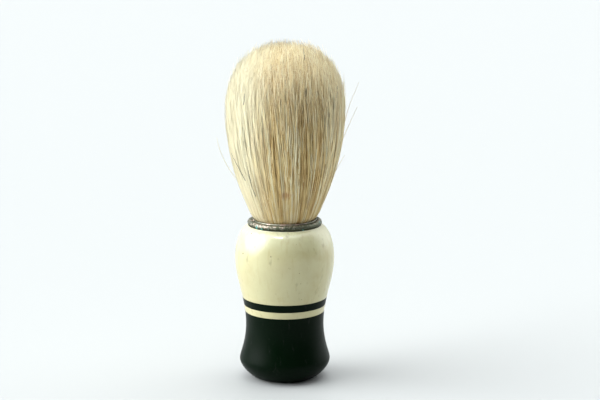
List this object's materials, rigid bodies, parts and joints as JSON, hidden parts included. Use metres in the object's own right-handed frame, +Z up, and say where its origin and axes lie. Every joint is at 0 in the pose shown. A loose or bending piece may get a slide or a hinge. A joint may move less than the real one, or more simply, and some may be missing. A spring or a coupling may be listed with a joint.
{
  "type": "shaving brush",
  "caption": "Upright barber's shaving brush with a bulb of pale bristle, a dark metal collar and a turned handle in cream and black enamel.",
  "frame": {"origin": "centre of the flat face under the base, which the brush stands on", "axes": "+Z up along the brush's axis, from the base to the knot's crown; the brush is round, so X and Y are free"},
  "size_m": [0.0377, 0.0376, 0.1084],
  "materials": {
    "handle_wood": "matte",
    "cream_enamel": "gloss",
    "black_enamel": "gloss",
    "glue": "matte",
    "ferrule_metal": "satin",
    "cement": "matte",
    "twine": "matte",
    "bristle": "satin"
  },
  "bodies": {
    "handle": {"wood_handle": "handle_wood", "cream_enamel": "cream_enamel", "black_line": "black_enamel", "cream_line": "cream_enamel", "black_enamel": "black_enamel", "socket_glue": "glue", "ferrule_cup": "ferrule_metal", "collar_ring": "ferrule_metal", "setting_cement": "cement", "binding_twine": "twine", "bristle_butts": "bristle"},
    "knot_heel": {"bristle_heel": "bristle"},
    "knot": {"bristle_loft": "bristle"}
  },
  "joints": [
    {"name": "knot_bend_front_back", "type": "hinge", "parent": "handle", "child": "knot_heel", "pos_m": [0, 0, 0.057], "axis": [1, 0, 0], "range_deg": [-15, 15], "stiffness_Nm_per_rad": 0.3},
    {"name": "knot_bend_side_to_side", "type": "hinge", "parent": "knot_heel", "child": "knot", "pos_m": [0, 0, 0.057], "axis": [0, 1, 0], "range_deg": [-15, 15], "stiffness_Nm_per_rad": 0.3}
  ]
}
